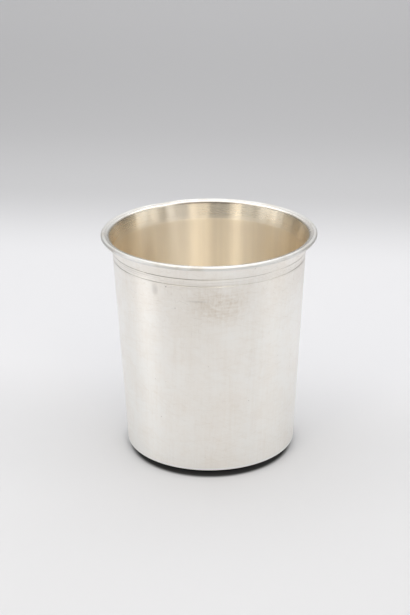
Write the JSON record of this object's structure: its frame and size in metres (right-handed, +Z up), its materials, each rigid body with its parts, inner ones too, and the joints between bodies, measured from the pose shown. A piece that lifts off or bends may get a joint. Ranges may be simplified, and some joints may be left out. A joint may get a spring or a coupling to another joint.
{
  "type": "silver timbale",
  "caption": "Straight-sided silver drinking cup, tapered towards its foot, with an everted wire-edged lip, turned lines under it and a dished base that it stands on.",
  "frame": {"origin": "middle of the flat standing face under the base", "axes": "+Z up along the cup's axis of revolution, -Y towards the viewer of the picture, +X to the viewer's right; the wall's seam faces +X"},
  "size_m": [0.075, 0.075, 0.08],
  "materials": {
    "wall_silver": "old polished silver, satin from fine scratches",
    "base_silver": "old polished silver, scuffed and toned underneath",
    "rim_silver": "bright polished silver",
    "solder": "hard silver solder, dressed smooth"
  },
  "bodies": {
    "root": {"wall": "wall_silver", "seam_solder": "solder", "base": "base_silver", "base_solder": "solder", "rim_wire": "rim_silver", "rim_solder": "solder"}
  },
  "joints": []
}
